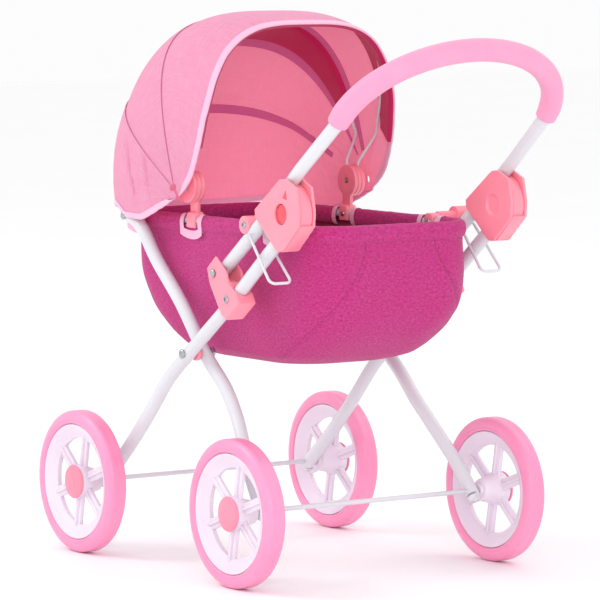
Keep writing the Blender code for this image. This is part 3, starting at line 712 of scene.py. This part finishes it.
details = {
    "bracketScrew": (247, 284.5),
    "bossScrew": (274, 361),
    # the drum in the hinge: its radii and half its width
    "drum": (17.0, 31.0, 6.8),
    "webHalf": 7.6,
    "hingeWallOuter": [(375, 364.5), (347, 338.5), (335.5, 337.5)],
    "notch": [(346.5, 391.5), (354.5, 390.0), (352.5, 400.0)],
    # clamps on the ring: places, heights of foot, shoulder and top, half width, distances from the middle
    "ringClamps": (121.0, 274.0),
    "clampHeights": (347.5, 360.5, 364.0),
    "clampHalf": 8,
    "clampInner": 89.6,
    "clampOuter": {121.0: 103.0, 274.0: 100.6},
    "clampScrew": 355.0,
}


def buildHingeDetails():
    # the drum fills the gap between the hinge plates and turns with the handle; a web closes them below
    centre, plane = handle["hinge"], tubes["legPlane"]
    for sideName, side in sides.items():
        inner, outer, half = details["drum"]
        drum = plate(sector(centre, inner, outer, -21, 78, 18), side, plane - half, plane + half, 1.0)
        finishPiece(drum, "hingeDrum_" + sideName, "handle", "coral")
        corners = details["hingeWallOuter"]
        web = corners + [(x - 2.6, z + 1.6) for x, z in corners[::-1]]
        filler = plate(web, side, plane - details["webHalf"], plane + details["webHalf"], 0.5)
        finishPiece(filler, "hingeWeb_" + sideName, "root", "coral")
        notch = plate(details["notch"], side, plane + 9.6, plane + 10.75, 0.3)
        finishPiece(notch, "hingeNotch_" + sideName, "root", "buttonRed")
        screw = screwHead(details["bracketScrew"], side, plane + 10.8, 4.2, 2.0)
        finishPiece(screw, "bracketScrewLow_" + sideName, "root", "steel", smoothAngle=35)
        screw = screwHead(details["bossScrew"], side, plane + 7.4, 3.6, 1.8)
        finishPiece(screw, "bossScrew_" + sideName, "links", "steel", smoothAngle=35)


def buildRingClamps():
    for sideName, side in sides.items():
        for x in details["ringClamps"]:
            label = "%d_%s" % (x, sideName)
            foot, shoulder, top = details["clampHeights"]
            half, slope = details["clampHalf"], details["clampHalf"] - 3
            outline = [(x - half, foot), (x + half, foot), (x + half, shoulder), (x + slope, top),
                       (x - slope, top), (x - half, shoulder)]
            block = plate(outline, side, details["clampInner"], details["clampOuter"][x], 1.8)
            finishPiece(block, "ringClamp_" + label, "basket", "coral")
            screw = screwHead((x, details["clampScrew"]), -side, -details["clampInner"] - 0.1, 3.2, 1.6)
            finishPiece(screw, "clampScrew_" + label, "basket", "steel", smoothAngle=35)


def buildMouldings():
    for sideName in sides:
        for node, name, rounds in melted:
            piece = meltedNode(node + sideName, 0.75, rounds)
            finishPiece(piece, name + sideName, "root", "coral", [node + sideName], 80)
    for kind, (finish, slot, width) in mouldings.items():
        for sideName in sides:
            node = kind + "_" + sideName
            piece = softenedNode(node, width)
            finishPiece(piece, node + "_soft", bodyOf(node), finish, [node], 40)


buildMouldings()
buildHingeDetails()
buildRingClamps()
print("mouldings done")


basket = {
    "ends": (-8.0, 348.0),
    "halfWidth": 96.0,
    "corner": 40.0,
    "ringHeight": 355.0,
    "ringRadius": 4.5,
    "top": 350.0,
    "bottom": 213.0,
    "wall": 2.2,
    "endBulge": 8.0,
    "sideBulge": 1.5,
    "frontRise": 70.0,
    "rearRise": 74.0,
    "sideRise": 20.0,
    "cornerGrowth": 14.0,
    "notches": [(16.0, 11.0), (121.0, 13.0), (274.0, 12.0)],
    "sleeve": (6.0, 9.2),
    "length": 1027,
    "seamRidge": 9.0,
    "seamThread": 3.0,
    "puckers": 46,
}


def roundedLoop(low, high, half, corner, share):
    # a point on a rectangle with round corners, by its share of the way round from the near side's middle
    straightX = high - low - 2 * corner
    straightY = 2 * half - 2 * corner
    arc = corner * math.pi / 2
    total = 2 * straightX + 2 * straightY + 4 * arc
    runs = [("line", (low + high) / 2, -half, 1, 0, straightX / 2),
            ("arc", high - corner, corner - half, -90, 0, arc),
            ("line", high, corner - half, 0, 1, straightY),
            ("arc", high - corner, half - corner, 0, 0, arc),
            ("line", high - corner, half, -1, 0, straightX),
            ("arc", low + corner, half - corner, 90, 0, arc),
            ("line", low, half - corner, 0, -1, straightY),
            ("arc", low + corner, corner - half, 180, 0, arc),
            ("line", low + corner, -half, 1, 0, straightX / 2)]
    left = (share % 1.0) * total
    for kind, x, y, a, b, length in runs:
        if left <= length or (kind, x, y, a, b, length) == runs[-1]:
            if kind == "line":
                return x + a * left, y + b * left
            angle = math.radians(a) + left / corner
            return x + corner * math.cos(angle), y + corner * math.sin(angle)
        left -= length


def basketOutline(depth, share):
    belly = math.sin(math.pi * depth)
    low = basket["ends"][0] - basket["endBulge"] * belly + basket["frontRise"] * depth ** 3
    high = basket["ends"][1] + basket["endBulge"] * belly - basket["rearRise"] * depth ** 4
    half = basket["halfWidth"] + 1.5 + basket["sideBulge"] * belly - basket["sideRise"] * depth ** 3.5
    corner = basket["corner"] + 1.5 + basket["cornerGrowth"] * depth
    return roundedLoop(low, high, half, corner, share), (low + high) / 2


def seamShares(down):
    # the four corner seams start on the end faces and run down round the corners to the sides
    seam = 0.211 - 0.094 * min(1.0, down / 0.74) ** 1.6
    return [seam, 0.5 - seam, 0.5 + seam, 1.0 - seam]


def basketPoint(share, down):
    # the wall for the first part of the way down, then the floor, drawn in to its middle
    bend = 0.74
    if down < bend:
        depth = (down / bend) * 0.93
        (x, y), middle = basketOutline(depth, share)
        z = basket["top"] - (basket["top"] - basket["bottom"]) * depth
        shrink = 1.0
    else:
        t = (down - bend) / (1 - bend)
        depth = 0.93 + 0.07 * min(1.0, t * 3)
        (x, y), middle = basketOutline(depth, share)
        z = basket["bottom"] + (basket["top"] - basket["bottom"]) * 0.07 * max(0.0, 1 - t * 3) ** 2
        z -= 0.8 * math.sin(math.pi * min(1.0, t))
        shrink = 1 - 0.985 * t
    x, y = middle + (x - middle) * shrink, y * shrink
    where = Vector((x, y, z))
    outward = Vector((x - middle, y * 1.8, 0)).normalized()
    wallShare = max(0.0, 1 - max(0.0, down - bend) * 8)
    pucker = math.sin(share * 2 * math.pi * basket["puckers"]) * 0.35 * math.exp(-down * 16)
    drape = noise.noise(where * 0.016) * 2.0 + noise.noise(where * 0.045 + Vector((7, 1, 3))) * 0.9
    crease = noise.noise(Vector((share * 30, down * 3, 0))) * 0.8 * math.sin(math.pi * min(1.0, down / bend))
    seams = 0.0
    for seam in seamShares(down):
        gap = abs((share - seam + 0.5) % 1.0 - 0.5)
        off = gap * basket["length"]
        seams += 0.9 * math.exp(-(off / basket["seamRidge"]) ** 2)
        seams -= 2.0 * math.exp(-(off / basket["seamThread"]) ** 2)
    folds = pucker + drape * 0.6 * min(1.0, down * 6) + crease + seams * min(1.0, down * 8)
    where += outward * folds * wallShare
    where += outward * 3.2 * math.exp(-down * 22) * wallShare
    limit = basket["halfWidth"] + 6.0
    where.y = max(-limit, min(limit, where.y))
    return at(*where)


def ringPoint(share):
    x, y = roundedLoop(basket["ends"][0], basket["ends"][1], basket["halfWidth"], basket["corner"], share)
    return x, y


def sleeveRuns():
    # the stretches of the ring between the notches
    count = 1440
    isOpen = []
    for k in range(count):
        x, y = ringPoint(k / count)
        onSide = abs(abs(y) - basket["halfWidth"]) < 1.0
        inNotch = any(abs(x - middle) < half for middle, half in basket["notches"])
        isOpen.append(not (onSide and inNotch))
    runs, run = [], []
    start = next(k for k in range(count) if not isOpen[k])
    for k in range(start, start + count + 1):
        if isOpen[k % count] and k < start + count:
            run.append((k % count) / count)
        elif run:
            runs.append(run)
            run = []
    return runs


def sleevePiece(shares, grow, gathered):
    # cloth wrapped over the ring and sewn under it: an upright loop, carried along the ring
    width, height = basket["sleeve"][0] + grow, basket["sleeve"][1] + grow
    outline = []
    for k in range(24):
        angle = 2 * math.pi * k / 24
        across = width * math.copysign(abs(math.cos(angle)) ** 0.8, math.cos(angle))
        outline.append((across, height * math.sin(angle) - 3.0))
    count = len(shares) - 1

    def pointAt(u, v):
        share = shares[round(u * count)]
        x, y = ringPoint(share)
        ahead, behind = ringPoint(share + 0.002), ringPoint(share - 0.002)
        along = Vector((ahead[0] - behind[0], ahead[1] - behind[1], 0)).normalized()
        outward = Vector((along.y, -along.x, 0))
        across, rise = outline[round(v * 24) % 24]
        ruffle = 1 + gathered * noise.noise(Vector((x * 0.09, y * 0.09, v * 3)))
        where = Vector((x, y, basket["ringHeight"])) + outward * across * ruffle
        where += Vector((0, 0, rise * ruffle))
        return at(*where)
    length = len(shares) / 1440 * 1.05
    piece = shapedGrid(count, 24, pointAt, (length, 0.05))
    meshOperator(piece, bpy.ops.mesh.remove_doubles, threshold=0.00001)
    meshOperator(piece, bpy.ops.mesh.normals_make_consistent, inside=False)
    return piece


def notchBinding(side, middle, half):
    # tape that edges the dip in the cloth under a notch
    def pointAt(u, v):
        reach = half + 7.0
        x = middle + (2 * u - 1) * reach
        dip = 5.0 * (1 - (2 * u - 1) ** 2)
        return at(x, side * (102.2 - 0.4 * v - 2.6 * (1 - abs(2 * u - 1))), 349.5 - dip - 9.0 * v)
    tape = shapedGrid(24, 6, pointAt, (0.04, 0.01))
    faceAwayFrom(tape, at(middle, 0, 345))
    applyModifier(tape, "SOLIDIFY", thickness=0.0007, offset=0.0)
    return tape


def buildBasket():
    cloth = shapedGrid(360, 90, basketPoint, (1.02, 0.26))
    meshOperator(cloth, bpy.ops.mesh.remove_doubles, threshold=0.00002)
    faceAwayFrom(cloth, at(170, 0, 290))
    cloth.data.materials.append(finishes["heather"])
    cloth.data.materials.append(finishes["basketLining"])
    applyModifier(cloth, "SOLIDIFY", thickness=basket["wall"] * 0.001, offset=-1.0, material_offset=1)
    finishPiece(cloth, "basketSewn", "basket", "heather", ["basket_cloth"], 60)
    for index in range(4):
        path = [basketPoint(seamShares(d / 50 * 0.74)[index], d / 50 * 0.74) for d in range(2, 51)]
        thread = barAlong(path, 0.45, 3)
        finishPiece(thread, "basketSeam_%d" % index, "basket", "seamThread")
    for sideName, side in sides.items():
        for middle, half in basket["notches"]:
            name = "notchBinding_%d_%s" % (middle, sideName)
            tape = notchBinding(side, middle, half)
            finishPiece(tape, name, "basket", "binding", smoothAngle=70)
    for index, shares in enumerate(sleeveRuns()):
        sleeve = sleevePiece(shares, 0.0, 0.07)
        name = "ringSleeve_%d" % index
        finishPiece(sleeve, name, "basket", "heather", smoothAngle=70)
        for end, part in (("a", shares[:11]), ("b", shares[-11:])):
            band = sleevePiece(part, 0.7, 0.0)
            name = "sleeveEdge_%d%s" % (index, end)
            finishPiece(band, name, "basket", "binding", smoothAngle=70)
    ring = smoothPath([at(*ringPoint(k / 160), basket["ringHeight"]) for k in range(160)], 1)
    tube = barAlong(ring[:-1], basket["ringRadius"], 6, closed=True)
    finishPiece(tube, "ringTube", "basket", "paint", ["basket_ring"], 50)
    board = softenedNode("floor_board", 1.2)
    finishPiece(board, "floorBoardCovered", "basket", "basketLining", ["floor_board"])


buildBasket()
print("basket done")


hood = {
    "hub": (121, 390),
    "halfWidth": 125.0,
    "height": 183.0,
    "power": 3.4,
    "foot": 4.0,
    "step": 1.3,
    "wall": 0.8,
    "front": 69.2,
    "back": 190.5,
    "lap": 1.5,
    "ribInset": 5.4,
    "tapeStart": 0.033,
    # a panel cut flat: its length over the arch, and its width over that of an even strip
    "flatLength": 0.47,
    "taper": 1.25,
    # the angle at which the front edge stands, by distance from the hub
    "frontEdge": [(0, -47), (11.7, -47), (13, -30), (16, -12), (22, 4), (30, 16), (43.6, 31), (56, 40),
                  (73, 48), (88, 53.5), (126, 62), (150, 66), (183, 69.2)],
    "hemHeight": 354.0,
    # how far round the cheek below the hub reaches, by distance from the hub
    "cheek": [(0, 313), (11.7, 313), (13, 268), (15.9, 249), (24, 232), (35, 221.5), (52, 215), (72, 210)],
    # creases in the back panel: two ends each, measured from the hub
    "creases": [((-80, 110), (-40, -22)), ((-99, 50), (-70, -24))],
}
panelAngle = (hood["back"] - hood["front"]) / 3


def archPoint(share, inset, foot=None):
    # across the arch, from the left foot to the right one: distance from the mid-plane and from the hub axis
    halfWidth, height = hood["halfWidth"] - inset, hood["height"] - inset
    first = math.asin(((foot or hood["foot"]) / height) ** (hood["power"] / 2))
    angle = first + (math.pi - 2 * first) * share
    across = math.copysign(abs(math.cos(angle)) ** (2 / hood["power"]), math.cos(angle))
    return -halfWidth * across, height * math.sin(angle) ** (2 / hood["power"])


def hoodPoint(across, reach, angle):
    turn = math.radians(angle)
    return at(hood["hub"][0] + reach * math.cos(turn), across, hood["hub"][1] + reach * math.sin(turn))


def between(table, reach, otherwise):
    # the value on the straight line between the two entries on either side
    for (near, first), (far, last) in zip(table, table[1:]):
        if near <= reach < far:
            return first + (last - first) * (reach - near) / (far - near)
    return otherwise


def hemAngle(reach):
    # how far round the back panel goes: a round cheek, a level hem at the sides, tucked in at the head end
    drop = hood["hub"][1] - hood["hemHeight"]
    level = 180 + math.degrees(math.asin(min(1.0, drop / max(reach, drop))))
    level = between(hood["cheek"], reach, level)
    blendIn = min(1.0, max(0.0, (reach - 105) / 30))
    return level + (hood["back"] - level) * blendIn


def creaseDepth(x, z):
    # pulled threads: a narrow valley between two low ridges
    depth = 0.0
    for start, end in hood["creases"]:
        length = math.dist(start, end)
        along = ((x - start[0]) * (end[0] - start[0]) + (z - start[1]) * (end[1] - start[1])) / length ** 2
        off = ((x - start[0]) * (end[1] - start[1]) - (z - start[1]) * (end[0] - start[0])) / length
        off += 2.0 * noise.noise(Vector((along * 5, start[0], 0)))
        fade = max(0.0, 1 - abs(2 * along - 1) ** 4)
        depth += fade * (1.6 * math.exp(-(off / 8) ** 2) - 5.2 * math.exp(-(off / 2.4) ** 2))
    return depth


def panelSurface(inset, first, last, hemmed=False, leading=False):
    def pointAt(place, down):
        # closer together towards the feet of the arch
        share = 0.5 - 0.5 * math.cos(math.pi * place)
        across, reach = archPoint(share, inset)
        start = between(hood["frontEdge"], reach, first) if leading else first
        end = hemAngle(reach) if hemmed else last
        angle = start + (end - start) * down
        seed = Vector((share * 5, down * 2.5, inset))
        swell = noise.noise(seed) * 0.3
        pinch = 0.0
        if hemmed:
            # gathers fan out from the hub over the sides of the back panel
            side = abs(share - 0.5) * 2
            gathers = max(0.0, side - 0.45) * math.sin(math.pi * min(1.0, down * 1.1))
            ripple = 1.2 * noise.noise(Vector((down * 16, side * 4, 0)))
            swell += gathers * (0.9 * math.sin(down * 38 + side * 6) + ripple)
            swell += 3.0 * math.sin(math.pi * min(1.0, down)) * (1 - side)
            turn = math.radians(angle)
            if abs(across) > 60:
                pinch = creaseDepth(reach * math.cos(turn), reach * math.sin(turn)) * min(1.0, down * 12)
        scale = 1 + (swell + 0.4 * pinch) / max(reach, 60)
        outward = (swell * 0.6 + pinch * 0.9) * min(1.0, abs(across) / 40)
        return hoodPoint(across + math.copysign(outward, across), reach * scale, angle)
    return pointAt


def surfaceNormal(surface, share, down):
    step = 0.004
    a = surface(min(1.0, share + step), down) - surface(max(0.0, share - step), down)
    b = surface(share, min(1.0, down + step)) - surface(share, max(0.0, down - step))
    normal = a.cross(b).normalized()
    centre = at(hood["hub"][0], 0, hood["hub"][1])
    if normal.dot(surface(share, down) - centre) < 0:
        normal = -normal
    return normal


def innerStrip(surface, firstDown, lastDown, firstShare, lastShare, gap, swell, lean=1.0, columns=120):
    # a strip sewn inside a panel; swell lifts it, as over a rib, with the top where lean puts it
    def pointAt(u, v):
        share = firstShare + (lastShare - firstShare) * u
        down = firstDown + (lastDown - firstDown) * v
        lift = gap + swell * math.sin(math.pi * v ** lean) ** 0.7
        return surface(share, down) - surfaceNormal(surface, share, down) * lift * 0.001
    strip = shapedGrid(columns, 20, pointAt, (0.45, 0.03))
    faceAwayFrom(strip, at(hood["hub"][0], 0, hood["hub"][1]))
    applyModifier(strip, "SOLIDIFY", thickness=0.0005, offset=0.0)
    return strip


def edgeTape(surface, edgeDown, inwardSign, width, wall, columns=220):
    # tape folded over a cloth edge: out along the outer side, round, and back along the inner side
    fold = [(width, 0.5), (width * 0.5, 0.6), (0.6, 0.6), (-0.5, 0.2), (-0.8, -wall / 2), (-0.5, -wall - 0.2),
            (0.6, -wall - 0.6), (width * 0.5, -wall - 0.6), (width, -wall - 0.5)]

    def pointAt(u, v):
        place = hood["tapeStart"] + (1 - 2 * hood["tapeStart"]) * u
        edge = surface(place, edgeDown)
        inside = surface(place, edgeDown + inwardSign * 0.03)
        inward = (inside - edge).normalized()
        normal = surfaceNormal(surface, place, edgeDown)
        back, out = fold[round(v * (len(fold) - 1))]
        return edge + (inward * back + normal * out) * 0.001
    tape = shapedGrid(columns, len(fold) - 1, pointAt, (0.5, 0.02))
    meshOperator(tape, bpy.ops.mesh.normals_make_consistent, inside=False)
    applyModifier(tape, "SOLIDIFY", thickness=0.0004, offset=0.0)
    return tape


def hoodPanel(name, node, body, inset, first, last, hemmed=False, leading=False):
    surface = panelSurface(inset, first, last, hemmed, leading)
    columns, rows = (260, 120) if hemmed else (220, 60)
    cloth = shapedGrid(columns, rows, surface, (hood["flatLength"], 0.13))
    faceAwayFrom(cloth, at(hood["hub"][0], 0, hood["hub"][1]))
    cloth.data.materials.append(finishes["hoodLinen"])
    cloth.data.materials.append(finishes["hoodLining"])
    applyModifier(cloth, "SOLIDIFY", thickness=hood["wall"] * 0.001, offset=-1.0, material_offset=1)
    # the outer cloth turns in along the edge that laps over the next panel
    for face in cloth.data.polygons:
        row = face.index % (columns * rows) // columns
        if row < 0.06 * rows and not leading:
            face.material_index = 0
    finishPiece(cloth, name, body, "hoodLinen", [node], 60)
    return surface, cloth


def buildHood():
    middleEdge = hood["front"] + panelAngle
    backEdge = hood["front"] + 2 * panelAngle
    back, backCloth = hoodPanel("hoodBack", "hood_panel_back", "basket", 0.0,
                                backEdge - hood["lap"], hood["back"], hemmed=True)
    middle, middleCloth = hoodPanel("hoodMiddle", "hood_panel_middle", "hood_middle", hood["step"],
                                    middleEdge - hood["lap"], backEdge + hood["lap"])
    front, frontCloth = hoodPanel("hoodFront", "hood_panel_front", "hood_front", 2 * hood["step"],
                                  hood["front"], middleEdge + hood["lap"], leading=True)
    trims = [
        ("frontBinding", "hood_front", "binding", edgeTape(front, 0.0, 1, 7.5, hood["wall"])),
        ("hemBinding", "basket", "binding", edgeTape(back, 1.0, -1, 6.0, hood["wall"])),
        ("frontPocket", "hood_front", "pocket",
         innerStrip(front, 0.005, 0.34, 0.144, 0.856, 1.0, 4.2, 0.3)),
        ("middlePocket", "hood_middle", "pocket",
         innerStrip(middle, 0.0, 0.36, 0.205, 0.795, 2.2, 4.2, 0.45)),
        ("frontSeamTape", "hood_front", "seamTape",
         innerStrip(front, 0.86, 0.97, 0.08, 0.92, 1.2, 0.3)),
        ("middleSeamTape", "hood_middle", "seamTape",
         innerStrip(middle, 0.37, 0.47, 0.08, 0.92, 1.2, 0.3)),
        ("backSeamTape", "basket", "seamTape", innerStrip(back, 0.16, 0.24, 0.16, 0.84, 1.2, 0.3)),
    ]
    trimsOf = {"basket": [], "hood_middle": [], "hood_front": []}
    for name, body, finish, piece in trims:
        trimsOf[body].append(finishPiece(piece, name, body, finish, smoothAngle=70))
    ribs = [("ribWireFront", "hood_front", "hood_rib_front", hood["front"] + 1, 105.6),
            ("ribWireMiddle", "hood_middle", "hood_rib_middle", middleEdge + 2, 100.9)]
    for name, body, node, angle, plane in ribs:
        arch = [archPoint(k / 60, hood["ribInset"], 50.0) for k in range(61)]
        full = [(-plane, 16.8), (-plane, 22.8)] + arch + [(plane, 22.8), (plane, 16.8)]
        path = [hoodPoint(across, reach, angle) for across, reach in full]
        tubePiece(name, smoothPath(path, 3), 1.5, body, node)


buildHood()
print("hood done")
